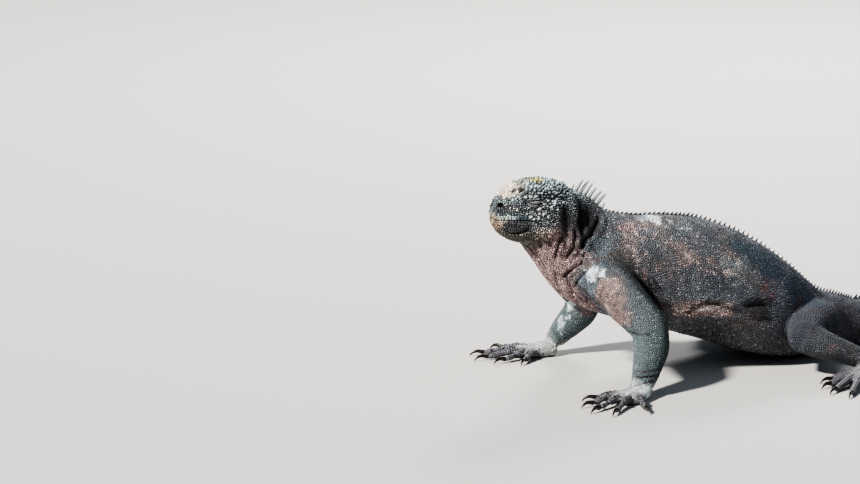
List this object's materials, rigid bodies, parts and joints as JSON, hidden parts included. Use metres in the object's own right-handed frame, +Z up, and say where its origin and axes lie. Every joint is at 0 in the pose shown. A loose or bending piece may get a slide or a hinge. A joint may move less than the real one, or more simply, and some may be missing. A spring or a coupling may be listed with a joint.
{
  "type": "marine iguana",
  "caption": "Life-size marine iguana in a raised basking pose, resting on belly, forefeet, hind feet and tail.",
  "frame": {"origin": "on the floor, in the middle of the flat where the belly rests under the hips", "axes": "+X from the nose towards the tail root, -Y the animal's left, +Z up"},
  "size_m": [0.5857, 0.4864, 0.1725],
  "materials": {
    "head_skin": "pale grey and cream bony scales over dark skin",
    "neck_skin": "dark folded skin with a pinkish brown throat",
    "body_skin": "fine granular scales, charcoal with salmon patches",
    "limb_skin": "fine keeled scales, green-grey",
    "claw": "dark horn, worn satin",
    "eye": "wet dark eye"
  },
  "bodies": {
    "root": {"head": "head_skin", "lower_jaw": "head_skin", "neck": "neck_skin", "trunk": "body_skin", "tail_base": "body_skin", "tail_middle": "body_skin", "tail_tip": "body_skin", "left_eye": "eye", "right_eye": "eye", "left_upper_arm": "limb_skin", "left_forearm": "limb_skin", "left_hand": "limb_skin", "left_thigh": "limb_skin", "left_shin": "limb_skin", "left_foot": "limb_skin", "left_hand_claw_1": "claw", "left_hand_claw_2": "claw", "left_hand_claw_3": "claw", "left_hand_claw_4": "claw", "left_hand_claw_5": "claw", "left_foot_claw_1": "claw", "left_foot_claw_2": "claw", "left_foot_claw_3": "claw", "left_foot_claw_4": "claw", "left_foot_claw_5": "claw", "right_upper_arm": "limb_skin", "right_forearm": "limb_skin", "right_hand": "limb_skin", "right_thigh": "limb_skin", "right_shin": "limb_skin", "right_foot": "limb_skin", "right_hand_claw_1": "claw", "right_hand_claw_2": "claw", "right_hand_claw_3": "claw", "right_hand_claw_4": "claw", "right_hand_claw_5": "claw", "right_foot_claw_1": "claw", "right_foot_claw_2": "claw", "right_foot_claw_3": "claw", "right_foot_claw_4": "claw", "right_foot_claw_5": "claw"}
  },
  "joints": []
}
